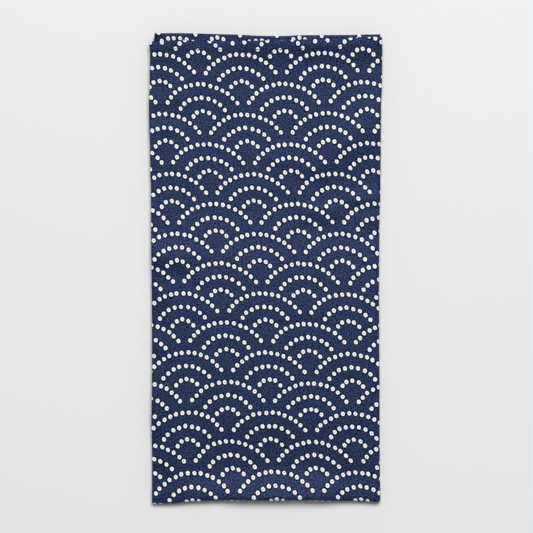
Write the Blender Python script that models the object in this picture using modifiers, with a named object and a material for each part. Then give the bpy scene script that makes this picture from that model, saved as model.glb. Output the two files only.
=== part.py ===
"""A square furoshiki, folded to an eighth of its size.

The cloth is folded in half and in half again across its width. That gives a back-and-forth section
of four layers. The strip is then folded in half along its length, at its front edge.
Metres, +Z up. The cloth lies on the plane z = 0, with its hems at +Y and its last fold at -Y.
"""

import math

import bmesh
import bpy
import numpy as np
from mathutils import Vector

MM = 0.001

# The cloth and its layers
SHEET = 1.0 * MM
LAYER_GAP = 0.3 * MM
PITCH = SHEET + LAYER_GAP
LAYERS_IN_STRIP = 4
STACK_HEIGHT = 2 * LAYERS_IN_STRIP * SHEET + (2 * LAYERS_IN_STRIP - 1) * LAYER_GAP

# The folded outline, before its edges are drawn in
FOLDED_WIDTH = 175 * MM
FOLD_LINE = -177.4 * MM
FREE_EDGE_INSET = 3.6 * MM

# How finely the cloth is divided
PANEL_STEPS = 8
NARROW_TURN_STEPS = 6
WIDE_TURN_STEPS = 8
LENGTH_STEPS = 19
LAST_FOLD_STEPS = 10

# Every layer has its rows at the same places along Y: two near its hem, then even ones to the bend
ROWS_NEAR_HEM = (170 * MM, 164.5 * MM)
EVEN_ROWS_FROM = 158 * MM

# The levels of the strip's layers, from the innermost to the outermost
INNERMOST, INSIDE, SECOND, TOP = range(LAYERS_IN_STRIP)

# Where each layer's two hems end along Y: layer, place across, upper half's hem, lower half's hem
HEMS = (
    (INNERMOST, -83, 173.6, 172.6),
    (INNERMOST, 86, 175.0, 172.4),
    (TOP, 86, 175.2, 172.2),
    (TOP, 70, 174.8, 172.0),
    (TOP, 45, 173.6, 171.8),
    (TOP, 8, 171.9, 171.6),
    (TOP, -50, 171.6, 171.4),
    (TOP, -64, 172.5, 171.3),
    (TOP, -80, 171.7, 171.2),
    (TOP, -87, 171.3, 171.1),
    (SECOND, -87, 171.3, 171.1),
    (SECOND, 86, 176.4, 172.0),
    (INSIDE, 86, 176.9, 172.3),
    (INSIDE, 60, 176.6, 172.4),
    (INSIDE, 28, 176.3, 172.4),
    (INSIDE, 14, 175.7, 172.5),
    (INSIDE, 0, 175.7, 172.5),
    (INSIDE, -28, 176.8, 172.6),
    (INSIDE, -64, 177.9, 172.8),
    (INSIDE, -84, 177.9, 173.0),
)

# The two long sides: place along Y, left side, right side
SIDES = (
    (-178, -86.5, 86.9),
    (-144, -86.3, 86.5),
    (-117, -86.7, 86.4),
    (-90, -86.5, 86.4),
    (-50, -86.4, 86.2),
    (-22, -86.6, 86.1),
    (-8, -86.8, 86.1),
    (33, -87.2, 86.3),
    (60, -87.3, 87.0),
    (87, -87.9, 87.3),
    (121, -88.8, 87.5),
    (142, -88.1, 88.3),
    (160, -87.7, 88.6),
    (170, -86.8, 88.3),
    (178, -86.3, 88.2),
)

# The lower layers are drawn in a little more: place along Y, at the left side, at the right side
LOWER_INSETS = (
    (-178, 0.3, 0.2),
    (-110, 1.2, 0.7),
    (-30, 0.6, 1.3),
    (60, 1.4, 0.5),
    (130, 0.8, 1.1),
    (178, 0.4, 0.6),
)

# How square the outermost layer's last fold is: 2 would be round
LAST_FOLD_SQUARENESS = 2.7

# The front edge reaches further at its corners: place across, reach past the fold line
FRONT = (
    (-88, 1.8),
    (-72, 1.6),
    (-56, -0.3),
    (-28, -0.6),
    (-8, -0.4),
    (30, -0.5),
    (56, -0.1),
    (70, 0.1),
    (88, 0.9),
)
FRONT_FADE = 45 * MM

# How far the upper face stands above a level stack: place along Y, rise
RISES = (
    (-178, 2.0),
    (-172, 1.9),
    (-157, 1.0),
    (-141, 1.5),
    (-105, 2.5),
    (-68, 2.3),
    (-30, 2.2),
    (-14, 1.8),
    (5, 1.2),
    (26, 0.3),
    (50, 0.0),
    (95, 0.3),
    (135, 0.9),
    (150, 1.5),
    (172, 3.3),
    (178, 3.5),
)

# The upper face rolls down to its sides: place along Y, drop at the left side, at the right side
ROLLS = (
    (-178, 0.6, 0.3),
    (-150, 1.2, 0.4),
    (-105, 1.0, 0.4),
    (-90, 0.4, 0.3),
    (-64, 0.8, 0.2),
    (-10, 0.6, 0.1),
    (10, 0.1, 0.0),
    (178, 0.0, 0.0),
)
ROLL_WIDTH = 16 * MM

# Broad soft ridges of the upper face: from across, from along, to across, to along, half width, rise
RIDGES = (
    (-4, 178, 82, 178, 18.0, 1.6),
    (62, 104, 92, 106, 14.0, 0.6),
    (-84, 8, -54, 8, 12.0, 0.8),
    (-22, -177, 40, -177, 16.0, 1.8),
)

CLOTH_COLOUR = (0.028, 0.039, 0.098, 1.0)
CLOTH_ROUGHNESS = 0.9


def clear_scene():
    """Take away whatever the file starts with."""
    for item in list(bpy.data.objects):
        bpy.data.objects.remove(item, do_unlink=True)


def eased(table, place, column):
    """A table's column at a place between its rows, joined by soft S-curves: mm in, metres out."""
    where = place / MM
    for before, after in zip(table, table[1:]):
        if where <= after[0] or after is table[-1]:
            share = (where - before[0]) / (after[0] - before[0])
            share = min(max(share, 0.0), 1.0)
            share = share * share * (3 - 2 * share)
            return (before[column] + (after[column] - before[column]) * share) * MM
    return table[-1][column] * MM


def straight(start, end, level, free_edge=None):
    """Section points of one flat layer: place across, height in the strip, layer.

    Every layer has its points at the same places across, but for its last one at a free edge.
    """
    for step in range(PANEL_STEPS + 1):
        across = start + (end - start) * step / PANEL_STEPS
        if free_edge is not None:
            across = max(across, free_edge)
        yield across, level * PITCH, level


def turn(centre, height, radius, first, last, levels, steps):
    """Section points of a fold between two layers, without its two ends."""
    for step in range(1, steps):
        angle = math.radians(first + (last - first) * step / steps)
        level = levels[0] if 2 * step < steps else levels[1]
        yield centre + radius * math.cos(angle), height + radius * math.sin(angle), level


def strip_section():
    """The back-and-forth section of the four layers, from one free edge to the other."""
    wide, narrow = 1.5 * PITCH, 0.5 * PITCH
    right = FOLDED_WIDTH / 2 - SHEET / 2 - wide
    left = -FOLDED_WIDTH / 2 + SHEET / 2 + narrow
    free_edge = -FOLDED_WIDTH / 2 + FREE_EDGE_INSET
    middle = 1.5 * PITCH
    points = []
    points += straight(left, right, INNERMOST, free_edge - 0.4 * MM)
    points += turn(right, middle, wide, -90, 90, (INNERMOST, TOP), WIDE_TURN_STEPS)
    points += straight(right, left, TOP)
    points += turn(left, 2.5 * PITCH, narrow, 90, 270, (TOP, SECOND), NARROW_TURN_STEPS)
    points += straight(left, right, SECOND)
    points += turn(right, middle, narrow, 90, -90, (SECOND, INSIDE), NARROW_TURN_STEPS)
    points += straight(right, left, INSIDE, free_edge)
    return points


def hem_ends(across, level):
    """Where a layer's upper and lower hems end along Y."""
    rows = sorted((row[1], row[2], row[3]) for row in HEMS if row[0] == level)
    return eased(rows, across, 1), eased(rows, across, 2)


def straight_rows(hem_end, bend):
    """The places along Y of a half's rows, from its hem to the bend."""
    rows = [hem_end, *ROWS_NEAR_HEM]
    for step in range(LENGTH_STEPS + 1):
        rows.append(EVEN_ROWS_FROM + (bend - EVEN_ROWS_FROM) * step / LENGTH_STEPS)
    return rows


def lengthwise_places(across, height, level):
    """Where a section point goes along Y and up, in every row from the upper hem round to the lower hem."""
    upper_hem, lower_hem = hem_ends(across, level)
    radius = PITCH / 2 + height
    middle = STACK_HEIGHT / 2
    bend = FOLD_LINE + middle
    squareness = 2 + (LAST_FOLD_SQUARENESS - 2) * radius / middle
    places = [(along, middle + radius) for along in straight_rows(upper_hem, bend)]
    for step in range(1, LAST_FOLD_STEPS):
        angle = math.pi * step / LAST_FOLD_STEPS
        back = math.sin(angle) ** (2 / squareness)
        up = math.copysign(abs(math.cos(angle)) ** (2 / squareness), math.cos(angle))
        places.append((bend - radius * back, middle + radius * up))
    places += [(along, middle - radius) for along in reversed(straight_rows(lower_hem, bend))]
    return places


def folded_sheet(name):
    """A grid, laid along the section one way and round the last fold the other way."""
    section = strip_section()
    places = [lengthwise_places(*point) for point in section]
    rows = len(places[0])
    grid = bmesh.new()
    bmesh.ops.create_grid(grid, x_segments=len(section) - 1, y_segments=rows - 1, size=0.5)
    for vertex in grid.verts:
        column = round((vertex.co.x + 0.5) * (len(section) - 1))
        row = round((0.5 - vertex.co.y) * (rows - 1))
        vertex.co = (section[column][0], *places[column][row])
    mesh = bpy.data.meshes.new(name)
    grid.to_mesh(mesh)
    grid.free()
    return bpy.data.objects.new(name, mesh)


def thicken(sheet):
    """Give the sheet its thickness, half to each side."""
    wall = sheet.modifiers.new("thickness", "SOLIDIFY")
    wall.thickness = SHEET
    wall.offset = 0
    wall.use_even_offset = True
    bpy.context.view_layer.update()
    flat_mesh = sheet.data
    shown = sheet.evaluated_get(bpy.context.evaluated_depsgraph_get())
    sheet.data = bpy.data.meshes.new_from_object(shown)
    sheet.modifiers.clear()
    bpy.data.meshes.remove(flat_mesh)


def relief(x, y, left, right):
    """How far the upper face stands above a level stack."""
    rise = eased(RISES, y, 1)
    for column, from_side in ((1, x - left), (2, right - x)):
        nearness = min(max(1 - from_side / ROLL_WIDTH, 0), 1.1)
        rise -= eased(ROLLS, y, column) * nearness**2
    for from_x, from_y, to_x, to_y, half_width, height in RIDGES:
        start = Vector((from_x, from_y)) * MM
        run = Vector((to_x, to_y)) * MM - start
        off = Vector((x, y)) - start
        place = min(max(off.dot(run) / run.dot(run), 0), 1)
        distance = (off - run * place).length / (half_width * MM)
        rise += height * MM * math.exp(-distance * distance)
    return rise


def settle(sheet):
    """Draw in the sides, let the front corners reach out and raise the upper face in soft ridges."""
    for vertex in sheet.data.vertices:
        across, along, up = vertex.co
        depth = up / STACK_HEIGHT
        lower = max(1 - depth, 0)
        left = eased(SIDES, along, 1)
        right = eased(SIDES, along, 2)
        drawn_left = left + eased(LOWER_INSETS, along, 1) * lower
        drawn_right = right - eased(LOWER_INSETS, along, 2) * lower
        share = across / FOLDED_WIDTH + 0.5
        near_front = max(0.0, 1 - (along - FOLD_LINE) / FRONT_FADE)
        near_front = min(near_front, 1.0) ** 2
        vertex.co.x = drawn_left + (drawn_right - drawn_left) * share
        vertex.co.y = along - eased(FRONT, across, 1) * near_front
        vertex.co.z = up + relief(vertex.co.x, vertex.co.y, left, right) * depth


def centre_on_floor(sheet):
    """Bring the middle of the outline to the origin and the underside to z = 0."""
    corners = np.array([vertex.co for vertex in sheet.data.vertices])
    low, high = corners.min(axis=0), corners.max(axis=0)
    shift = ((low + high) / 2)[:2]
    for vertex in sheet.data.vertices:
        vertex.co.x -= shift[0]
        vertex.co.y -= shift[1]
        vertex.co.z -= low[2]
        if vertex.co.z < 0.001 * MM:
            vertex.co.z = 0


def cotton(name):
    """Dyed cotton."""
    material = bpy.data.materials.new(name)
    material.use_nodes = True
    shader = material.node_tree.nodes["Principled BSDF"]
    shader.inputs["Base Color"].default_value = CLOTH_COLOUR
    shader.inputs["Roughness"].default_value = CLOTH_ROUGHNESS
    shader.inputs["Metallic"].default_value = 0.0
    return material


def main():
    """Build the folded cloth."""
    clear_scene()
    furoshiki = bpy.data.collections.new("furoshiki")
    bpy.context.scene.collection.children.link(furoshiki)
    cloth = folded_sheet("cloth")
    furoshiki.objects.link(cloth)
    thicken(cloth)
    settle(cloth)
    centre_on_floor(cloth)
    cloth.data.materials.append(cotton("indigo cotton"))
    cloth.data.shade_smooth()
    cloth.data.set_sharp_from_angle(angle=math.radians(40))


main()
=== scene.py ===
"""A square indigo furoshiki with a dotted wave print, folded to an eighth and seen from straight above."""

import math

import bpy
import numpy as np
from mathutils import Matrix, Vector


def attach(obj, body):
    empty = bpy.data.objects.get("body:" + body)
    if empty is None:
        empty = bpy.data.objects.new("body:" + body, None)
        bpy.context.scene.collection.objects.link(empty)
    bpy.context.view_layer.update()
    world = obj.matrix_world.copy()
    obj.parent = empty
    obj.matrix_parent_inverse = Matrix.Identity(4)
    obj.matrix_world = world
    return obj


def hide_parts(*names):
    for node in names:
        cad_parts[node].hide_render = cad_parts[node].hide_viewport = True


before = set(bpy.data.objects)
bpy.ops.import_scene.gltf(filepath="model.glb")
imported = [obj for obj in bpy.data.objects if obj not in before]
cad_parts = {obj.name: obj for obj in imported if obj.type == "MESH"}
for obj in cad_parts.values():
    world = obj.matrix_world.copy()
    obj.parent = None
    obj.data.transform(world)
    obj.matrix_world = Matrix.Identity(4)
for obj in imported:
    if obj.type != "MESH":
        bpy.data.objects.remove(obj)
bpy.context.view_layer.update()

MM = 0.001

# The cloth and its layers, with the pitch from one layer's middle to the next one's
CLOTH_THICKNESS = 0.7 * MM
HEM_THICKNESS = 1.1 * MM
HEM_WIDTH = 6.6 * MM
STACK_HEIGHT = 8.6 * MM
LAYERS = 8
PITCH = (STACK_HEIGHT - CLOTH_THICKNESS) / (LAYERS - 1)
# The four layers of each half, outwards from the middle of the stack
INNERMOST, INSIDE, SECOND, TOP = range(LAYERS // 2)

# The folded outline, before its edges are drawn in
FOLDED_WIDTH = 175 * MM
FOLD_LINE = -177.4 * MM
FREE_EDGE_INSET = 3.6 * MM
INNERMOST_EDGE_REACH = 0.4 * MM
LAST_BEND = FOLD_LINE + STACK_HEIGHT / 2

# How finely each stretch of the cloth is divided
TOP_STEPS = 100
PANEL_STEPS = 22
NARROW_TURN_STEPS = 8
WIDE_TURN_STEPS = 10
LAST_FOLD_STEPS = 18
UPPER_STEPS = 176
UNDER_STEPS = 14

# Distances from a hem's edge where the cloth has a row of points, in mm
HEM_ROWS = (0, 0.35, 0.9, 2.0, 3.4, 4.8, 5.8, 6.3, 6.6, 6.9, 7.4, 8.4)
# Rows further in than those count as this far from the edge
PAST_HEM = HEM_WIDTH * 2
# The hem's share of its full thickness at a distance from its edge: distance in mm, share
STITCH_LINE_SHARE = 0.86
HEM_SHARES = (
    (0.0, 0.62),
    (0.35, 0.9),
    (0.9, 1.0),
    (5.8, 1.0),
    (6.6, STITCH_LINE_SHARE),
    (7.4, CLOTH_THICKNESS / HEM_THICKNESS),
)

# The tables of places below are in mm
# Where each layer's two hems end along Y: layer, place across, upper half's hem, lower half's hem
HEMS = (
    (INNERMOST, -83, 173.6, 172.6),
    (INNERMOST, 86, 175.0, 172.4),
    (TOP, 86, 174.7, 172.2),
    (TOP, 70, 174.1, 172.0),
    (TOP, 45, 173.4, 171.8),
    (TOP, 8, 171.9, 171.6),
    (TOP, -50, 171.6, 171.4),
    (TOP, -64, 172.5, 171.3),
    (TOP, -80, 171.7, 171.2),
    (TOP, -87, 171.3, 171.1),
    (SECOND, -87, 171.3, 171.1),
    (SECOND, 40, 172.4, 171.6),
    (SECOND, 86, 175.4, 172.0),
    (INSIDE, 86, 176.9, 172.3),
    (INSIDE, 60, 176.4, 172.4),
    (INSIDE, 28, 176.3, 172.4),
    (INSIDE, 14, 175.7, 172.5),
    (INSIDE, 0, 175.7, 172.5),
    (INSIDE, -28, 177.0, 172.6),
    (INSIDE, -64, 177.9, 172.8),
    (INSIDE, -84, 177.9, 173.0),
)

# The two long sides: place along Y, left side, right side
SIDES = (
    (-178, -86.5, 86.9),
    (-144, -86.4, 86.5),
    (-117, -87.0, 86.4),
    (-90, -86.5, 86.4),
    (-50, -86.4, 86.2),
    (-22, -86.6, 86.1),
    (-8, -86.8, 86.1),
    (33, -87.2, 86.3),
    (60, -87.3, 87.0),
    (74, -87.8, 87.1),
    (87, -87.9, 87.3),
    (121, -88.8, 87.5),
    (142, -88.1, 88.3),
    (165, -87.7, 88.5),
    (171, -88.5, 88.3),
    (178, -88.1, 88.2),
)

# The lower layers are drawn in a little more: place along Y, at the left side, at the right side
LOWER_INSETS = (
    (-178, 0.3, 0.2),
    (-110, 1.2, 0.7),
    (-30, 0.6, 1.3),
    (60, 1.4, 0.5),
    (130, 0.8, 1.1),
    (167, 0.5, 1.2),
    (178, 0.4, 3.0),
)

# How square the outermost layer's last fold is: 2 would be round
LAST_FOLD_SQUARENESS = 2.7
# How much of the print's length goes round the last fold
LAST_FOLD_PRINT = 16 * MM

# The front edge reaches further at its corners: place across, reach past the fold line
FRONT = (
    (-88, 1.8),
    (-72, 1.6),
    (-56, 0.0),
    (-28, -0.8),
    (-8, -0.6),
    (30, -0.8),
    (56, -0.3),
    (70, -0.2),
    (88, 0.8),
)
# How far back from the fold line that reach fades out
FRONT_FADE = 45 * MM

# How far the upper face stands above a level stack: place along Y, rise
RISES = (
    (-178, 1.0),
    (-172, 0.9),
    (-157, 0.1),
    (-141, 0.5),
    (-105, 1.7),
    (-68, 2.0),
    (-30, 2.2),
    (-14, 1.8),
    (5, 1.2),
    (24, 0.5),
    (44, -0.1),
    (95, 0.4),
    (135, 1.1),
    (150, 1.7),
    (172, 3.5),
    (178, 4.3),
)

# The upper face rolls down to its sides: place along Y, drop at the left side, at the right side
ROLLS = (
    (-178, 1.2, 0.6),
    (-160, 2.8, 0.8),
    (-138, 2.0, 0.6),
    (-118, 1.0, 0.5),
    (-98, -0.3, 0.4),
    (-84, 1.2, 0.3),
    (-72, 2.1, 0.2),
    (-56, 0.8, 0.2),
    (-44, 1.3, 0.2),
    (-34, 2.7, 0.2),
    (-10, 1.7, 0.1),
    (8, 0.1, 0.0),
    (178, 0.0, 0.0),
)
ROLL_WIDTH = 24 * MM
# How far the roll's curve may run, where 1 is at the side
ROLL_LIMIT = 1.1

# Soft creases of the upper face: from across, from along, to across, to along, half width, rise
CREASES = (
    (-2, 173, 26, 173, 14.0, 1.8),
    (36, 168, 44, 168, 9.0, 0.7),
    (54, 173, 74, 173, 14.0, 2.2),
    (-60, 178, -10, 178, 16.0, 0.7),
    (-48, 150, -38, 150, 26.0, 1.2),
    (-70, 133, -66, 133, 7.0, 0.7),
    (-90, 127, -62, 127, 6.0, 0.5),
    (-90, 105, -70, 105, 5.5, 0.5),
    (-90, 98, -74, 98, 18.0, 0.7),
    (66, 140, 92, 142, 44.0, 1.4),
    (92, 122, 98, 124, 16.0, 1.3),
    (46, 82, 68, 104, 12.0, 1.3),
    (62, 96, 82, 101, 20.0, 1.4),
    (66, 52, 90, 53, 6.0, 1.2),
    (73, 37, 85, 37, 5.0, 0.7),
    (70, 25, 86, 25, 6.0, -0.4),
    (-10, 86, 34, 75, 4.0, 0.35),
    (27, 75, 42, 72, 7.0, 0.7),
    (20, 86, 44, 86, 10.0, 0.5),
    (-12, 62, 46, 55, 4.0, 0.3),
    (32, 43, 49, 43, 7.0, 1.3),
    (32, 29, 49, 29, 7.0, -0.4),
    (-90, 43, -76, 43, 5.0, 0.4),
    (-90, 31, -76, 31, 5.0, -0.4),
    (-84, 9, -58, 9, 8.0, 1.2),
    (-80, 9, -68, 9, 8.0, 0.7),
    (-66, 3, -50, -7, 5.0, 0.7),
    (-30, 3, 84, 0, 14.0, 0.3),
    (-92, -20, -76, -20, 7.0, 0.6),
    (84, -12, 92, -12, 4.0, 0.5),
    (-52, -43, 38, -43, 3.5, -0.3),
    (-92, -47, -78, -47, 6.0, -0.4),
    (-92, -70, -76, -70, 5.0, -0.5),
    (57, -86, 75, -85, 3.5, -0.3),
    (-76, -92, -70, -92, 5.0, 0.6),
    (48, -159, 82, -159, 9.0, -0.4),
    (-24, -150, 32, -150, 17.0, -1.2),
    (-54, -177, 44, -177, 12.0, 0.9),
    (-16, -177, 36, -177, 16.0, 3.3),
)
# The layers in the middle of the stack ripple a little: height, then each wave's size and start
RIPPLE = 0.25 * MM
RIPPLE_ACROSS = (23 * MM, 1.3)
RIPPLE_ALONG = (31 * MM, 0.4)
# The lowest that any of the cloth lies over the table
REST_GAP = 0.05 * MM


def eased(table, place, column):
    """A column of a table at many places, with soft S-curves from row to row.

    The table is in mm, the places and the result are in metres.
    """
    rows = np.array(sorted(table), float)
    where = np.clip(place / MM, rows[0, 0], rows[-1, 0])
    after = np.clip(np.searchsorted(rows[:, 0], where), 1, len(rows) - 1)
    share = (where - rows[after - 1, 0]) / (rows[after, 0] - rows[after - 1, 0])
    share = share * share * (3 - 2 * share)
    return (rows[after - 1, column] * (1 - share) + rows[after, column] * share) * MM


def deselect_all():
    """Nothing is selected and nothing is active."""
    for item in bpy.context.selected_objects:
        item.select_set(False)
    bpy.context.view_layer.objects.active = None


# Camera
CAMERA_LENS = 200.0
CAMERA_SENSOR = 36.0
CAMERA_NEAR = 0.01
VIEW_WIDTH = 404 * MM
VIEW_CENTRE = (0.45 * MM, 1.1 * MM)

# Light and table
SOFTBOX_PLACE = (0.16, 1.0, 2.66)
SOFTBOX_SIZE = (1.06, 1.14)
SOFTBOX_POWER = 68
ROOM_COLOUR = (0.965, 0.975, 1.0, 1.0)
ROOM_STRENGTH = 0.275
TABLE_SIZE = 6.0
TABLE_COLOUR = (0.80, 0.80, 0.80, 1.0)
TABLE_ROUGHNESS = 0.8


def add_camera():
    """A camera straight above the middle of the cloth."""
    data = bpy.data.cameras.new("camera")
    data.lens = CAMERA_LENS
    data.sensor_width = CAMERA_SENSOR
    data.clip_start = CAMERA_NEAR
    camera = bpy.data.objects.new("camera", data)
    bpy.context.scene.collection.objects.link(camera)
    height = STACK_HEIGHT + VIEW_WIDTH * CAMERA_LENS / CAMERA_SENSOR
    camera.location = (VIEW_CENTRE[0], VIEW_CENTRE[1], height)
    bpy.context.scene.camera = camera


def add_softbox():
    """A large soft light beyond the cloth and a little to its right, facing the middle of the cloth."""
    data = bpy.data.lights.new("far softbox", "AREA")
    data.shape = "RECTANGLE"
    data.size, data.size_y = SOFTBOX_SIZE
    data.energy = SOFTBOX_POWER
    softbox = bpy.data.objects.new("far softbox", data)
    bpy.context.scene.collection.objects.link(softbox)
    softbox.location = SOFTBOX_PLACE
    softbox.rotation_euler = (-Vector(SOFTBOX_PLACE)).to_track_quat("-Z", "Y").to_euler()


def add_room():
    """A pale room all round, and colours shown as they are."""
    world = bpy.data.worlds.new("room")
    world.use_nodes = True
    room = world.node_tree.nodes["Background"]
    room.inputs["Color"].default_value = ROOM_COLOUR
    room.inputs["Strength"].default_value = ROOM_STRENGTH
    bpy.context.scene.world = world
    bpy.context.scene.view_settings.view_transform = "Standard"


def add_floor():
    """A plain pale table top."""
    deselect_all()
    bpy.ops.mesh.primitive_plane_add(size=TABLE_SIZE, location=(0, 0, 0))
    floor = bpy.context.object
    floor.name = "floor"
    material = bpy.data.materials.new("pale table top")
    material.use_nodes = True
    shader = material.node_tree.nodes["Principled BSDF"]
    shader.inputs["Base Color"].default_value = TABLE_COLOUR
    shader.inputs["Roughness"].default_value = TABLE_ROUGHNESS
    floor.data.materials.append(material)


# How the print lies on each layer: across at its left end and its right end, then along at the same two
PRINT_ON_LAYERS = {
    TOP: (-86.3, 85.0, 0.0, 0.0),
    SECOND: (-88.5, -271.0, 0.0, 15.1),
    INSIDE: (-443.8, -273.1, 10.1, 15.2),
    INNERMOST: (259.4, 91.4, 0.0, 0.0),
}

# The print drifts a little: place along Y, to the right at the left side, to the right at the right side,
# then up at each of the places across
DRIFT_PLACES = (-73, -39, 0, 37, 71)
PRINT_DRIFT = (
    (-168, -3.60, 0.13, -1.25, 0.29, 1.03, 0.96, 0.37),
    (-155, -2.86, -0.03, -0.66, 1.39, 1.09, 1.59, 0.45),
    (-121, -3.85, -2.03, -0.37, 1.99, 0.91, 1.22, 0.22),
    (-87, 0.02, 1.18, 0.60, 1.60, 0.89, 0.16, -0.44),
    (-53, 1.17, 1.95, 0.42, 1.15, 1.04, -0.28, -0.41),
    (-19, 1.04, 1.11, 0.31, 0.73, 0.39, 0.04, -1.00),
    (15, 0.78, 1.17, -0.02, 0.54, -0.05, 0.11, -0.41),
    (49, 1.05, 0.11, 0.03, -0.19, 0.03, 0.14, 0.42),
    (83, 0.47, -1.43, 0.27, -0.30, -0.35, 0.13, 0.42),
    (117, -0.27, -2.15, 0.38, -0.65, -0.09, 0.27, 1.11),
    (152, -0.42, -1.86, 0.55, -0.91, 0.21, 0.88, 1.58),
    (172, -0.57, -0.30, 0.47, -0.99, -0.07, 0.81, 1.57),
)
# It bends towards the two sides: place across, to the right, up
PRINT_BEND = (
    (-84, 0.18, -0.52),
    (-62, 0.05, 0.21),
    (-39, 0.0, -0.03),
    (-10, -0.1, -0.03),
    (20, -0.2, -0.03),
    (45, -0.3, -0.01),
    (62, -0.24, 0.11),
    (84, -0.1, -0.29),
)


def print_drift(x, y):
    """How far the print stands to the right of, and above, its even place."""
    along, *drifts = np.array(PRINT_DRIFT).T
    at_left, at_right, *ups = (np.interp(y / MM, along, drift) for drift in drifts)
    side = np.clip(x / FOLDED_WIDTH + 0.5, 0, 1)
    places, bend_right, bend_up = zip(*PRINT_BEND)
    to_right = at_left * (1 - side) + at_right * side + np.interp(x / MM, places, bend_right)
    up = np.interp(x / MM, places, bend_up)
    for number, drift in enumerate(ups):
        share = np.interp(x / MM, DRIFT_PLACES, np.arange(len(ups)) == number)
        up = up + drift * share
    return to_right * MM, up * MM


def straight(start, end, level, steps):
    """Section points of one flat layer: across, height, layer, print across, print along."""
    left, right, left_along, right_along = PRINT_ON_LAYERS[level]
    ends = ((start, left, left_along), (end, right, right_along))
    if start > end:
        ends = ((start, right, right_along), (end, left, left_along))
    for step in range(steps + 1):
        share = step / steps
        across, print_across, print_along = (a + (b - a) * share for a, b in zip(*ends))
        yield across, level * PITCH, level, print_across * MM, print_along * MM


def turn(centre, height, radius, first, last, before, after, steps):
    """Section points of the fold between two flat layers, without its two ends. Angles in degrees."""
    _, _, level, print_across, print_along = before
    _, _, next_level, next_across, next_along = after
    for step in range(1, steps):
        share = step / steps
        angle = math.radians(first + (last - first) * share)
        yield (
            centre + radius * math.cos(angle),
            height + radius * math.sin(angle),
            level if share < 0.5 else next_level,
            print_across + (next_across - print_across) * share,
            print_along + (next_along - print_along) * share,
        )


def strip_section():
    """The back-and-forth section of the strip's four layers, from one free edge to the other."""
    wide = (TOP - INNERMOST) / 2 * PITCH
    narrow = PITCH / 2
    middle = (TOP + INNERMOST) / 2 * PITCH
    upper = (TOP + SECOND) / 2 * PITCH
    right = FOLDED_WIDTH / 2 - CLOTH_THICKNESS / 2 - wide
    left = -FOLDED_WIDTH / 2 + CLOTH_THICKNESS / 2 + narrow
    free_edge = -FOLDED_WIDTH / 2 + FREE_EDGE_INSET
    under = list(straight(free_edge - INNERMOST_EDGE_REACH, right, INNERMOST, PANEL_STEPS))
    top = list(straight(right, left, TOP, TOP_STEPS))
    second = list(straight(left, right, SECOND, PANEL_STEPS))
    inside = list(straight(right, free_edge, INSIDE, PANEL_STEPS))
    wide_turn = turn(right, middle, wide, -90, 90, under[-1], top[0], WIDE_TURN_STEPS)
    left_turn = turn(left, upper, narrow, 90, 270, top[-1], second[0], NARROW_TURN_STEPS)
    right_turn = turn(right, middle, narrow, 90, -90, second[-1], inside[0], NARROW_TURN_STEPS)
    return [*under, *wide_turn, *top, *left_turn, *second, *right_turn, *inside]


def hem_ends(across, levels):
    """Where the upper and the lower hem end along Y, at each section point."""
    ends = np.zeros((2, len(across)))
    for level in (INNERMOST, INSIDE, SECOND, TOP):
        rows = [row[1:] for row in HEMS if row[0] == level]
        here = levels == level
        ends[0, here] = eased(rows, across[here], 1)
        ends[1, here] = eased(rows, across[here], 2)
    return ends


def relief(x, y, left, right):
    """How far the upper face stands above a level stack."""
    rise = eased(RISES, y, 1)
    for column, from_side in ((1, x - left), (2, right - x)):
        rolled = np.clip(1 - from_side / ROLL_WIDTH, 0, ROLL_LIMIT) ** 2
        rise = rise - eased(ROLLS, y, column) * rolled
    for from_x, from_y, to_x, to_y, half_width, height in CREASES:
        start = np.array((from_x, from_y)) * MM
        run = np.array((to_x, to_y)) * MM - start
        place = ((x - start[0]) * run[0] + (y - start[1]) * run[1]) / (run @ run)
        place = np.clip(place, 0, 1)
        off = np.hypot(x - start[0] - run[0] * place, y - start[1] - run[1] * place)
        rise = rise + height * MM * np.exp(-((off / (half_width * MM)) ** 2))
    return rise


def ripple(x, y):
    """Soft waves over the whole cloth, from -1 to 1."""
    across, across_start = RIPPLE_ACROSS
    along, along_start = RIPPLE_ALONG
    return np.sin(x / across + across_start) * np.sin(y / along + along_start)


def settled(across, along, up):
    """Draw in the sides, let the front corners reach out and raise the upper face in soft ridges."""
    depth = up / STACK_HEIGHT
    left = eased(SIDES, along, 1)
    right = eased(SIDES, along, 2)
    lower = np.clip(1 - depth, 0, 1)
    share = across / FOLDED_WIDTH + 0.5
    drawn_left = left + eased(LOWER_INSETS, along, 1) * lower
    drawn_right = right - eased(LOWER_INSETS, along, 2) * lower
    near_front = np.clip(1 - (along - FOLD_LINE) / FRONT_FADE, 0, 1) ** 2
    x = drawn_left + (drawn_right - drawn_left) * share
    y = along - eased(FRONT, across, 1) * near_front
    between = np.sin(math.pi * np.clip(depth, 0, 1))
    z = up + relief(x, y, left, right) * depth + RIPPLE * ripple(x, y) * between
    return x, y, z


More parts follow.
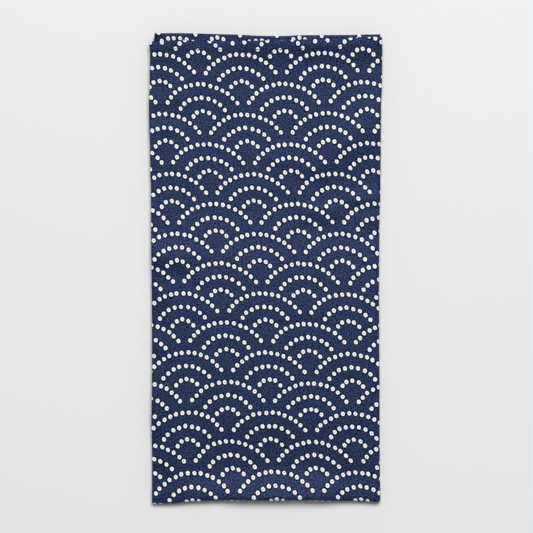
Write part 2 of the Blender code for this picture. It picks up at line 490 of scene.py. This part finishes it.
def cloth_rows(section):
    """Every row of the cloth, from the upper hem round the last fold to the lower hem.

    Each row gives along, up and print along at each section point, and its distance from the hem's edge.
    """
    across, height, levels, _, print_shift = (np.array(column) for column in zip(*section))
    upper_hem, lower_hem = hem_ends(across, levels)
    radius = PITCH / 2 + height
    middle = STACK_HEIGHT / 2
    squareness = 2 + (LAST_FOLD_SQUARENESS - 2) * radius / middle
    hem_rows = np.array(HEM_ROWS) * MM
    rows = []
    for distance in hem_rows:
        along = upper_hem - distance
        rows.append((along, middle + radius, along + print_shift, distance))
    start = upper_hem - hem_rows[-1]
    for step in range(1, UPPER_STEPS + 1):
        along = start + (LAST_BEND - start) * step / UPPER_STEPS
        rows.append((along, middle + radius, along + print_shift, PAST_HEM))
    for step in range(1, LAST_FOLD_STEPS + 1):
        share = step / LAST_FOLD_STEPS
        forward = max(math.sin(math.pi * share), 0)
        upward = math.cos(math.pi * share)
        along = LAST_BEND - radius * forward ** (2 / squareness)
        up = middle + radius * math.copysign(1, upward) * abs(upward) ** (2 / squareness)
        rows.append((along, up, LAST_BEND - LAST_FOLD_PRINT * share + print_shift, PAST_HEM))
    start = lower_hem - hem_rows[-1]
    turned = 2 * LAST_BEND - LAST_FOLD_PRINT + print_shift
    for step in range(1, UNDER_STEPS + 1):
        along = LAST_BEND + (start - LAST_BEND) * step / UNDER_STEPS
        rows.append((along, middle - radius, turned - along, PAST_HEM))
    for distance in hem_rows[-2::-1]:
        along = lower_hem - distance
        rows.append((along, middle - radius, turned - along, distance))
    return rows


def print_places(across, print_across, rows):
    """Where each point of the cloth lies in the print, which goes evenly round the last fold."""
    along, up, print_along, _ = (np.array(column) for column in zip(*rows))
    x = np.broadcast_to(across, along.shape)
    settled_x, settled_y, settled_z = settled(x, along, up)
    drift_right, drift_up = print_drift(settled_x, settled_y)
    first = len(HEM_ROWS) + UPPER_STEPS - 1
    last = first + LAST_FOLD_STEPS
    way = np.where(np.arange(len(rows)) < last, 1, -1)[:, None]
    u = print_across + (settled_x - x) - drift_right
    v = print_along + way * (settled_y - along - drift_up)
    fold = slice(first, last + 1)
    lengths = np.hypot(np.diff(settled_y[fold], axis=0), np.diff(settled_z[fold], axis=0))
    share = np.cumsum(lengths, axis=0) / lengths.sum(axis=0)
    v[first + 1:last + 1] = v[first] + (v[last] - v[first]) * share
    return u, v


def vertex_places(mesh):
    """Where the mesh's vertices are, one row for each."""
    places = np.zeros(len(mesh.vertices) * 3)
    mesh.vertices.foreach_get("co", places)
    return places.reshape(-1, 3)


def place_vertices(mesh, x, y, z):
    """Move the mesh's vertices to these places."""
    mesh.vertices.foreach_set("co", np.stack([x, y, z], axis=1).ravel())


def make_cloth():
    """The printed cotton, one thin sheet on all its folds, with its two hems thicker."""
    section = strip_section()
    across, _, _, print_across, _ = (np.array(column) for column in zip(*section))
    rows = cloth_rows(section)
    along, up, _, hem_distances = (np.array(column) for column in zip(*rows))
    last_column, last_row = len(section) - 1, len(rows) - 1
    deselect_all()
    bpy.ops.mesh.primitive_grid_add(x_subdivisions=last_column, y_subdivisions=last_row, size=1)
    cloth = bpy.context.object
    cloth.name = "printed_cotton"
    mesh = cloth.data
    grid_x, grid_y, _ = vertex_places(mesh).T
    column = np.rint((grid_x + 0.5) * last_column).astype(int)
    row = np.rint((0.5 - grid_y) * last_row).astype(int)
    place_vertices(mesh, across[column], along[row, column], up[row, column])
    u, v = (values[row, column] for values in print_places(across, print_across, rows))
    corner = np.zeros(len(mesh.loops), int)
    mesh.loops.foreach_get("vertex_index", corner)
    layer = mesh.uv_layers[0]
    layer.name = "print"
    layer.data.foreach_set("uv", np.stack([u[corner], v[corner]], axis=1).ravel())
    hem = cloth.vertex_groups.new(name="hem")
    shares = np.interp(hem_distances / MM, *zip(*HEM_SHARES))
    for index, share in enumerate(shares):
        hem.add(np.flatnonzero(row == index).tolist(), float(share), "REPLACE")
    mesh.flip_normals()
    mesh.update()
    for material in (printed_face(), wrong_side()):
        mesh.materials.append(material)
    wall = cloth.modifiers.new("thickness", "SOLIDIFY")
    wall.thickness = HEM_THICKNESS
    wall.offset = 0
    wall.vertex_group = "hem"
    wall.use_even_offset = True
    wall.material_offset = 1
    bpy.ops.object.modifier_apply(modifier="thickness")
    mesh = cloth.data
    x, y, z = settled(*vertex_places(mesh).T)
    place_vertices(mesh, x, y, np.maximum(z, REST_GAP))
    mesh.update()
    mesh.shade_smooth()
    return cloth


# Kinds of sockets
NUMBER = "NodeSocketFloat"
VECTOR = "NodeSocketVector"


class Wiring:
    """Adds nodes to a tree, each fed by values or by other nodes' sockets."""

    def __init__(self, tree):
        self.tree = tree
        self.nodes = tree.nodes
        self.links = tree.links

    def feed(self, socket, value):
        """Link a socket to another, or set its value."""
        if isinstance(value, bpy.types.NodeSocket):
            self.links.new(value, socket)
        else:
            socket.default_value = value

    def math(self, operation, *values):
        """A Math node's result."""
        node = self.nodes.new("ShaderNodeMath")
        node.operation = operation
        for socket, value in zip(node.inputs, values):
            self.feed(socket, value)
        return node.outputs[0]

    def combine(self, x, y, z=0.0):
        """Three numbers as one vector."""
        node = self.nodes.new("ShaderNodeCombineXYZ")
        for socket, value in zip(node.inputs, (x, y, z)):
            self.feed(socket, value)
        return node.outputs[0]

    def split(self, vector):
        """A vector's three numbers."""
        node = self.nodes.new("ShaderNodeSeparateXYZ")
        self.feed(node.inputs[0], vector)
        return node.outputs

    def vector(self, operation, first, second):
        """A Vector Math node's result."""
        node = self.nodes.new("ShaderNodeVectorMath")
        node.operation = operation
        self.feed(node.inputs[0], first)
        self.feed(node.inputs[1], second)
        return node.outputs[0]

    def scaled(self, vector, factor):
        """A vector times a number."""
        node = self.nodes.new("ShaderNodeVectorMath")
        node.operation = "SCALE"
        self.feed(node.inputs[0], vector)
        node.inputs["Scale"].default_value = factor
        return node.outputs[0]

    def spread(self, value, reach):
        """A value from 0 to 1 turned into one from -reach to reach."""
        return self.math("MULTIPLY", self.math("SUBTRACT", value, 0.5), 2 * reach)

    def smooth(self, value, low, high, to_low=0.0, to_high=1.0):
        """A soft step from one value to another."""
        node = self.nodes.new("ShaderNodeMapRange")
        node.interpolation_type = "SMOOTHSTEP"
        for socket, given in zip(node.inputs, (value, low, high, to_low, to_high)):
            self.feed(socket, given)
        return node.outputs[0]

    def noise(self, vector, scale, detail=2.0, roughness=0.5):
        """Soft noise from 0 to 1."""
        node = self.nodes.new("ShaderNodeTexNoise")
        self.feed(node.inputs["Vector"], vector)
        node.inputs["Scale"].default_value = scale
        node.inputs["Detail"].default_value = detail
        node.inputs["Roughness"].default_value = roughness
        return node.outputs["Fac"]

    def random(self, vector):
        """A random colour for each place, as three numbers from 0 to 1."""
        node = self.nodes.new("ShaderNodeTexWhiteNoise")
        node.noise_dimensions = "3D"
        self.feed(node.inputs["Vector"], vector)
        return self.split(node.outputs["Color"])

    def mix(self, share, first, second):
        """A mix of two colours."""
        node = self.nodes.new("ShaderNodeMix")
        node.data_type = "RGBA"
        self.feed(node.inputs["Factor"], share)
        self.feed(node.inputs[6], first)
        self.feed(node.inputs[7], second)
        return node.outputs[2]

    def bump(self, height, strength, distance, normal=None):
        """The normal that a height gives, on top of another normal."""
        node = self.nodes.new("ShaderNodeBump")
        node.inputs["Strength"].default_value = strength
        node.inputs["Distance"].default_value = distance
        self.feed(node.inputs["Height"], height)
        if normal is not None:
            self.feed(node.inputs["Normal"], normal)
        return node.outputs[0]

    def group(self, name, **values):
        """A node group placed with its own values."""
        node = self.nodes.new("ShaderNodeGroup")
        node.node_tree = bpy.data.node_groups[name]
        for label, value in values.items():
            self.feed(node.inputs[label.replace("_", " ")], value)
        return node.outputs


def new_group(name, inputs, outputs):
    """A new shader node group: its wiring, what it is given, and where its results go."""
    group = bpy.data.node_groups.new(name, "ShaderNodeTree")
    for label, kind in inputs:
        group.interface.new_socket(label, in_out="INPUT", socket_type=kind)
    for label, kind in outputs:
        group.interface.new_socket(label, in_out="OUTPUT", socket_type=kind)
    w = Wiring(group)
    return w, w.nodes.new("NodeGroupInput").outputs, w.nodes.new("NodeGroupOutput").inputs


# The wave print, in mm: waves stand half a wave aside in each row, and three arcs of dots make a wave
WAVE_WIDTH = 62.35
WAVE_ROW = 22.69
WAVE_LEAN = 0.0865
FIRST_WAVE = (-19.33, 162.1)
DOT_WIDTH = 3.0
DOT_LENGTH = 3.41
DOT_TILT = 0.16
DOT_TILT_UNEVEN = 0.2
DOT_DRIFT = 0.3
# In parts of a dot's half size: its greyer middle, where the dye starts to bleed in at its edge, how soft
# and how rough that edge is, and where the deeper dye round it starts to fade and ends
DOT_MIDDLE = 0.5
DOT_EDGE = 0.85
DOT_SOFT_EDGE = 0.03
DOT_ROUGH_EDGE = 0.05
DOT_RIM = (1.42, 1.68)
# The search for the nearest dot starts from here
FAR_FROM_DOTS = 10.0
# Each arc: number of dots, radius, its centre's depth under the wave's top, degrees between dots
ARCS = (
    (14, 32.8, 32.95, 8.4),
    (9, 21.1, 31.5, 13.4),
    (5, 9.25, 29.6, 28.8),
)
# How far over its top a wave's own field starts
FIELD_ABOVE = 4.0
# Keep the random numbers of neighbouring waves apart: across, along, between the two rows
WAVE_SEEDS = (17.3, 23.9, 5.7)


def dot_arc_group():
    """An arc of oval dots round its centre: the distance from the nearest dot's middle, 1 at its edge."""
    w, given, result = new_group(
        "arc of dots",
        [
            ("across", NUMBER),
            ("down", NUMBER),
            ("wave", VECTOR),
            ("radius", NUMBER),
            ("centre", NUMBER),
            ("spacing", NUMBER),
            ("last dot", NUMBER),
            ("offset", NUMBER),
        ],
        [("distance", NUMBER)],
    )
    across, radius, spacing = given["across"], given["radius"], given["spacing"]
    last = given["last dot"]
    above_centre = w.math("SUBTRACT", given["centre"], given["down"])
    angle = w.math("ARCTAN2", across, above_centre)
    turns = w.math("SUBTRACT", w.math("DIVIDE", angle, spacing), given["offset"])
    dot = w.math("ADD", w.math("ROUND", turns), given["offset"])
    dot = w.math("MINIMUM", w.math("MAXIMUM", dot, w.math("MULTIPLY", last, -1.0)), last)
    dot_angle = w.math("MULTIPLY", dot, spacing)
    drift = w.random(w.vector("ADD", given["wave"], w.combine(dot, radius)))
    dot_x = w.math("MULTIPLY", w.math("SINE", dot_angle), radius)
    dot_y = w.math("MULTIPLY", w.math("COSINE", dot_angle), radius)
    off_x = w.math("SUBTRACT", w.math("SUBTRACT", across, dot_x), w.spread(drift[0], DOT_DRIFT))
    off_y = w.math("SUBTRACT", w.math("SUBTRACT", above_centre, dot_y), w.spread(drift[1], DOT_DRIFT))
    tilt = w.math("ADD", w.spread(drift[2], DOT_TILT_UNEVEN), DOT_TILT)
    off_wide = w.math("ADD", off_x, w.math("MULTIPLY", off_y, tilt))
    off_long = w.math("SUBTRACT", off_y, w.math("MULTIPLY", off_x, tilt))
    wide = w.math("DIVIDE", off_wide, DOT_WIDTH / 2)
    long = w.math("DIVIDE", off_long, DOT_LENGTH / 2)
    squares = w.math("ADD", w.math("MULTIPLY", wide, wide), w.math("MULTIPLY", long, long))
    w.feed(result["distance"], w.math("SQRT", squares))


def wave_print_group():
    """The dotted waves over the whole cloth, from the cloth's own place in mm."""
    dot_arc_group()
    w, given, result = new_group(
        "dotted wave print",
        [("place", VECTOR), ("rough edge", NUMBER)],
        [("dots", NUMBER), ("middle", NUMBER), ("edge", NUMBER), ("rim", NUMBER)],
    )
    across, along, _ = w.split(given["place"])
    first_across, first_along = FIRST_WAVE
    across_seed, along_seed, row_seed = WAVE_SEEDS
    down = w.math("SUBTRACT", first_along, along)
    lean = w.math("MULTIPLY", down, WAVE_LEAN)
    leaned = w.math("SUBTRACT", w.math("SUBTRACT", across, first_across), lean)
    nearest = FAR_FROM_DOTS
    for row in (0, 1):
        aside = w.math("SUBTRACT", leaned, row * WAVE_WIDTH / 2)
        below = w.math("ADD", w.math("SUBTRACT", down, row * WAVE_ROW), FIELD_ABOVE)
        wave_x = w.math("FLOOR", w.math("ADD", w.math("DIVIDE", aside, WAVE_WIDTH), 0.5))
        wave_y = w.math("FLOOR", w.math("DIVIDE", below, 2 * WAVE_ROW))
        x = w.math("SUBTRACT", aside, w.math("MULTIPLY", wave_x, WAVE_WIDTH))
        in_field = w.math("SUBTRACT", below, w.math("MULTIPLY", wave_y, 2 * WAVE_ROW))
        y = w.math("SUBTRACT", in_field, FIELD_ABOVE)
        seed_x = w.math("MULTIPLY", wave_x, across_seed)
        seed_y = w.math("MULTIPLY", wave_y, along_seed)
        wave = w.combine(seed_x, seed_y, row * row_seed)
        for count, radius, centre, spacing in ARCS:
            arc = w.group(
                "arc of dots",
                across=x,
                down=y,
                wave=wave,
                radius=radius,
                centre=centre,
                spacing=math.radians(spacing),
                last_dot=(count - 1) / 2,
                offset=0.5 if count % 2 == 0 else 0.0,
            )["distance"]
            nearest = w.math("MINIMUM", arc, nearest)
    nearest = w.math("ADD", nearest, w.spread(given["rough edge"], DOT_ROUGH_EDGE))
    w.feed(result["dots"], w.smooth(nearest, 1 - DOT_SOFT_EDGE, 1 + DOT_SOFT_EDGE, 1.0, 0.0))
    w.feed(result["middle"], w.smooth(nearest, 0.0, DOT_MIDDLE, 1.0, 0.0))
    w.feed(result["edge"], w.smooth(nearest, DOT_EDGE, 1.0))
    w.feed(result["rim"], w.smooth(nearest, *DOT_RIM, 1.0, 0.0))


# The plain weave: thread to thread in mm, and how fast the threads wander for each mm
THREAD_PITCH = 0.66
THREAD_WANDER = 0.15
# How much a crossing's shade stands off the middle, and how uneven that is
THREAD_CONTRAST = 0.48
THREAD_CONTRAST_UNEVEN = 0.1
# The share of blocks that differ along the warp alone, and again along the weft alone
ONE_WAY_BLOCKS = 0.333
# How fast a slub's shade changes for each mm: across its thread, along its thread
SLUB_ACROSS = 2.2
SLUB_ALONG = 0.16
# Keep the random numbers of the blocks' shades, of their hues and of the weft's slubs apart
SHADE_SEED = 3.0
HUE_SEED = 8.0
WEFT_SEED = 9.0


def plain_weave_group():
    """Plain-woven cotton, from the cloth's place in mm: its threads' height, shade, hue and slubs.

    In each block of two by two crossings, two are paler and two deeper: side by side or cornerwise.
    """
    w, given, result = new_group(
        "plain weave",
        [("place", VECTOR)],
        [
            ("height", NUMBER),
            ("thread shade", NUMBER),
            ("redness", NUMBER),
            ("blueness", NUMBER),
            ("slubs", NUMBER),
        ],
    )
    across, along, _ = w.split(given["place"])
    wander = w.noise(given["place"], THREAD_WANDER)
    across = w.math("ADD", across, wander)
    along = w.math("SUBTRACT", along, wander)
    warp = w.math("SINE", w.math("MULTIPLY", across, math.pi / THREAD_PITCH))
    weft = w.math("SINE", w.math("MULTIPLY", along, math.pi / THREAD_PITCH))
    over = w.math("GREATER_THAN", w.math("MULTIPLY", warp, weft), 0.0)
    under = w.math("SUBTRACT", 1.0, over)
    warp_height = w.math("MULTIPLY", w.math("ABSOLUTE", warp), over)
    weft_height = w.math("MULTIPLY", w.math("ABSOLUTE", weft), under)
    w.feed(result["height"], w.math("ADD", warp_height, weft_height))
    block_x = w.math("FLOOR", w.math("DIVIDE", across, 2 * THREAD_PITCH))
    block_y = w.math("FLOOR", w.math("DIVIDE", along, 2 * THREAD_PITCH))
    kind, turned, depth = w.random(w.combine(block_x, block_y, SHADE_SEED))
    side = w.math("SIGN", w.math("SUBTRACT", turned, 0.5))
    warp_differs = w.math("LESS_THAN", kind, 1 - ONE_WAY_BLOCKS)
    weft_differs = w.math("GREATER_THAN", kind, ONE_WAY_BLOCKS)
    for thread, differs in ((warp, warp_differs), (weft, weft_differs)):
        step = w.math("MULTIPLY", w.math("SUBTRACT", w.math("SIGN", thread), 1.0), differs)
        side = w.math("MULTIPLY", side, w.math("ADD", step, 1.0))
    uneven = w.math("MULTIPLY", depth, 2 * THREAD_CONTRAST_UNEVEN)
    contrast = w.math("ADD", uneven, THREAD_CONTRAST - THREAD_CONTRAST_UNEVEN)
    w.feed(result["thread shade"], w.math("ADD", w.math("MULTIPLY", side, contrast), 0.5))
    blueness, redness, _ = w.random(w.combine(block_x, block_y, HUE_SEED))
    w.feed(result["redness"], redness)
    w.feed(result["blueness"], blueness)
    warp_place = w.combine(w.math("MULTIPLY", across, SLUB_ACROSS), w.math("MULTIPLY", along, SLUB_ALONG))
    weft_x = w.math("MULTIPLY", across, SLUB_ALONG)
    weft_y = w.math("MULTIPLY", along, SLUB_ACROSS)
    weft_place = w.combine(weft_x, weft_y, WEFT_SEED)
    slubs = w.math("ADD", w.noise(warp_place, 1.0), w.noise(weft_place, 1.0))
    w.feed(result["slubs"], w.math("MULTIPLY", slubs, 0.5))


# The fibres' gloss has the dye's colour
GLOSS = 0.37
GLOSS_COLOUR = (0.295, 0.42, 1.0, 1.0)
SHEEN = 0.04
SHEEN_ROUGHNESS = 0.5
# Roughness of the deepest and of the palest threads, and of the thick dye round a dot
COTTON_ROUGHNESS = (0.57, 0.42)
RIM_ROUGHNESS = 0.9
# How much slubs and cloudy dye move the ground's shade, and how much its threads differ in hue
SLUB_SHADE = 0.25
CLOUD_SHADE = 0.15
REDNESS_SPREAD = 0.4
BLUENESS_SPREAD = 0.3
# The dye that shows in a dot: how much, its colour
DOT_EDGE_DYE = 0.2
DOT_EDGE_COLOUR = (0.10, 0.18, 0.60, 1.0)
DOT_MIDDLE_DYE = 0.8
DOT_MIDDLE_COLOUR = (0.10, 0.08, 0.085, 1.0)
# Noise over the cloth: scale for each mm, detail, roughness
DYE_CLOUDS = (0.06, 3.0, 0.55)
BROAD_WRINKLES = (0.22, 3.0, 0.55)
FINE_WRINKLES = (0.9, 2.0, 0.6)
FINE_WRINKLE_SHARE = 0.35
# Shaded relief: strength, height
WEAVE_RELIEF = (0.5, 0.06 * MM)
WRINKLE_RELIEF = (0.6, 0.25 * MM)


def cotton(name, ground_dark, ground_light, dots_dark, dots_light, bleed, print_strength):
    """Printed cotton in these colours: the ground's, the dots' and the dye that bleeds round them."""
    material = bpy.data.materials.new(name)
    material.use_nodes = True
    w = Wiring(material.node_tree)
    shader = w.nodes["Principled BSDF"]
    place = w.nodes.new("ShaderNodeUVMap")
    place.uv_map = "print"
    where = w.scaled(place.outputs[0], 1 / MM)
    weave = w.group("plain weave", place=where)
    wave_print = w.group("dotted wave print", place=where, rough_edge=weave["thread shade"])
    dots = w.math("MULTIPLY", wave_print["dots"], print_strength)
    clouds = w.noise(where, *DYE_CLOUDS)
    shade = w.math("ADD", weave["thread shade"], w.spread(weave["slubs"], SLUB_SHADE))
    shade = w.math("ADD", shade, w.spread(clouds, CLOUD_SHADE))
    ground = w.mix(shade, ground_dark, ground_light)
    redness = w.math("ADD", w.spread(weave["redness"], REDNESS_SPREAD), 1.0)
    blueness = w.math("ADD", w.spread(weave["blueness"], BLUENESS_SPREAD), 1.0)
    ground = w.vector("MULTIPLY", ground, w.combine(redness, 1.0, blueness))
    ground = w.mix(wave_print["rim"], ground, bleed)
    dot = w.mix(weave["thread shade"], dots_dark, dots_light)
    dot = w.mix(w.math("MULTIPLY", wave_print["edge"], DOT_EDGE_DYE), dot, DOT_EDGE_COLOUR)
    dot = w.mix(w.math("MULTIPLY", wave_print["middle"], DOT_MIDDLE_DYE), dot, DOT_MIDDLE_COLOUR)
    w.feed(shader.inputs["Base Color"], w.mix(dots, ground, dot))
    rough = w.smooth(shade, 0.0, 1.0, *COTTON_ROUGHNESS)
    dull = w.math("MULTIPLY", wave_print["rim"], w.math("SUBTRACT", RIM_ROUGHNESS, rough))
    w.feed(shader.inputs["Roughness"], w.math("ADD", rough, dull))
    shader.inputs["Specular IOR Level"].default_value = GLOSS
    shader.inputs["Specular Tint"].default_value = GLOSS_COLOUR
    shader.inputs["Sheen Weight"].default_value = SHEEN
    shader.inputs["Sheen Roughness"].default_value = SHEEN_ROUGHNESS
    fine = w.math("MULTIPLY", w.noise(where, *FINE_WRINKLES), FINE_WRINKLE_SHARE)
    wrinkles = w.math("ADD", w.noise(where, *BROAD_WRINKLES), fine)
    threads = w.bump(weave["height"], *WEAVE_RELIEF)
    w.feed(shader.inputs["Normal"], w.bump(wrinkles, *WRINKLE_RELIEF, threads))
    return material


def printed_face():
    """The right side: deep indigo with white dots."""
    return cotton(
        "indigo cotton, right side",
        ground_dark=(0.0, 0.0, 0.016, 1.0),
        ground_light=(0.0287, 0.0433, 0.094, 1.0),
        dots_dark=(0.86, 0.86, 0.845, 1.0),
        dots_light=(1.0, 1.0, 0.985, 1.0),
        bleed=(0.0, 0.001, 0.036, 1.0),
        print_strength=1.0,
    )


def wrong_side():
    """The wrong side: the same print, paler, showing through."""
    return cotton(
        "indigo cotton, wrong side",
        ground_dark=(0.018, 0.022, 0.050, 1.0),
        ground_light=(0.062, 0.078, 0.150, 1.0),
        dots_dark=(0.42, 0.45, 0.52, 1.0),
        dots_light=(0.56, 0.58, 0.63, 1.0),
        bleed=(0.02, 0.035, 0.110, 1.0),
        print_strength=0.8,
    )


# The sewing of the hems
STITCH_LENGTH = 2.6 * MM
STITCH_STEP = 3.1 * MM
STITCH_WIDTH = 0.75 * MM
STITCH_HEIGHT = 0.26 * MM
STITCH_SEGMENTS = 6
STITCH_RINGS = 5
# How far a stitch's middle stands out from the cloth's face, and from the middle of the cloth's thickness
STITCH_STANDS_OUT = 0.03 * MM
STITCH_LIFT = HEM_THICKNESS * STITCH_LINE_SHARE / 2 + STITCH_STANDS_OUT
# The sewing thread's plies, in radians for each mm, and its fibres for each mm
PLY_RATE = 16.0
PLY_SHADE = 0.3
FIBRE_SCALE = 2.5
SEWING_DARK = (0.004, 0.007, 0.024, 1.0)
SEWING_LIGHT = (0.022, 0.034, 0.090, 1.0)
SEWING_ROUGHNESS = 0.5
FIBRE_ROUGHNESS = 0.25
SEWING_GLOSS = 0.3


def stitch_places():
    """Both ends of each stitch and the side of the cloth that it lies on, for both hems."""
    across, height, levels, _, _ = (np.array(column) for column in zip(*strip_section()))
    middle = STACK_HEIGHT / 2
    for level in (INNERMOST, INSIDE, SECOND, TOP):
        flat = (levels == level) & np.isclose(height, level * PITCH)
        first, last = across[flat].min() + STITCH_STEP, across[flat].max() - STITCH_STEP
        starts = np.arange(first, last, STITCH_STEP)
        for lower in (0, 1):
            up = middle + (PITCH / 2 + level * PITCH) * (-1 if lower else 1)
            for side in (1, -1):
                ends = []
                for place in (starts, starts + STITCH_LENGTH):
                    along = hem_ends(place, np.full(len(place), level))[lower] - HEM_WIDTH
                    face = np.full(len(place), up + side * STITCH_LIFT)
                    ends.append(np.stack(settled(place, along, face), axis=1))
                for start, end in zip(*ends):
                    yield Vector(start), Vector(end), side


def make_stitches():
    """The hems' seams: short stitches, each a rounded length of thread that dips in at both ends."""
    deselect_all()
    bpy.ops.mesh.primitive_uv_sphere_add(
        segments=STITCH_SEGMENTS,
        ring_count=STITCH_RINGS,
        radius=0.5,
        rotation=(0, math.radians(90), 0),
    )
    stitch = bpy.context.object
    bpy.ops.object.transform_apply(rotation=True)
    stitch.scale = (STITCH_LENGTH, STITCH_WIDTH, STITCH_HEIGHT)
    bpy.ops.object.transform_apply(scale=True)
    copies = []
    for start, end, side in stitch_places():
        forward = (end - start).normalized()
        sideways = Vector((0, 0, side)).cross(forward).normalized()
        upward = forward.cross(sideways)
        turned = Matrix((forward, sideways, upward)).transposed().to_4x4()
        centre = (start + end) / 2
        centre.z = max(centre.z, STITCH_HEIGHT / 2)
        copy = stitch.copy()
        copy.data = stitch.data.copy()
        copy.data.transform(Matrix.Translation(centre) @ turned)
        bpy.context.scene.collection.objects.link(copy)
        copies.append(copy)
    bpy.data.objects.remove(stitch, do_unlink=True)
    for copy in copies:
        copy.select_set(True)
    stitches = copies[0]
    bpy.context.view_layer.objects.active = stitches
    bpy.ops.object.join()
    stitches.name = "hem_stitches"
    stitches.data.materials.append(sewing_thread())
    stitches.data.shade_smooth()
    return stitches


def sewing_thread():
    """Indigo sewing cotton, its plies a little lighter and darker."""
    material = bpy.data.materials.new("indigo sewing thread")
    material.use_nodes = True
    w = Wiring(material.node_tree)
    shader = w.nodes["Principled BSDF"]
    place = w.scaled(w.nodes.new("ShaderNodeTexCoord").outputs["Object"], 1 / MM)
    x, y, _ = w.split(place)
    ply = w.math("SINE", w.math("MULTIPLY", w.math("ADD", x, y), PLY_RATE))
    fibres = w.noise(place, FIBRE_SCALE)
    shade = w.math("ADD", w.math("MULTIPLY", ply, PLY_SHADE), fibres)
    rough = w.math("ADD", SEWING_ROUGHNESS, w.math("MULTIPLY", fibres, FIBRE_ROUGHNESS))
    w.feed(shader.inputs["Base Color"], w.mix(shade, SEWING_DARK, SEWING_LIGHT))
    w.feed(shader.inputs["Roughness"], rough)
    shader.inputs["Specular IOR Level"].default_value = SEWING_GLOSS
    return material


add_camera()
add_softbox()
add_room()
add_floor()
wave_print_group()
plain_weave_group()
cloth = make_cloth()
stitches = make_stitches()
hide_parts("cloth")
for piece in (cloth, stitches):
    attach(piece, "root")
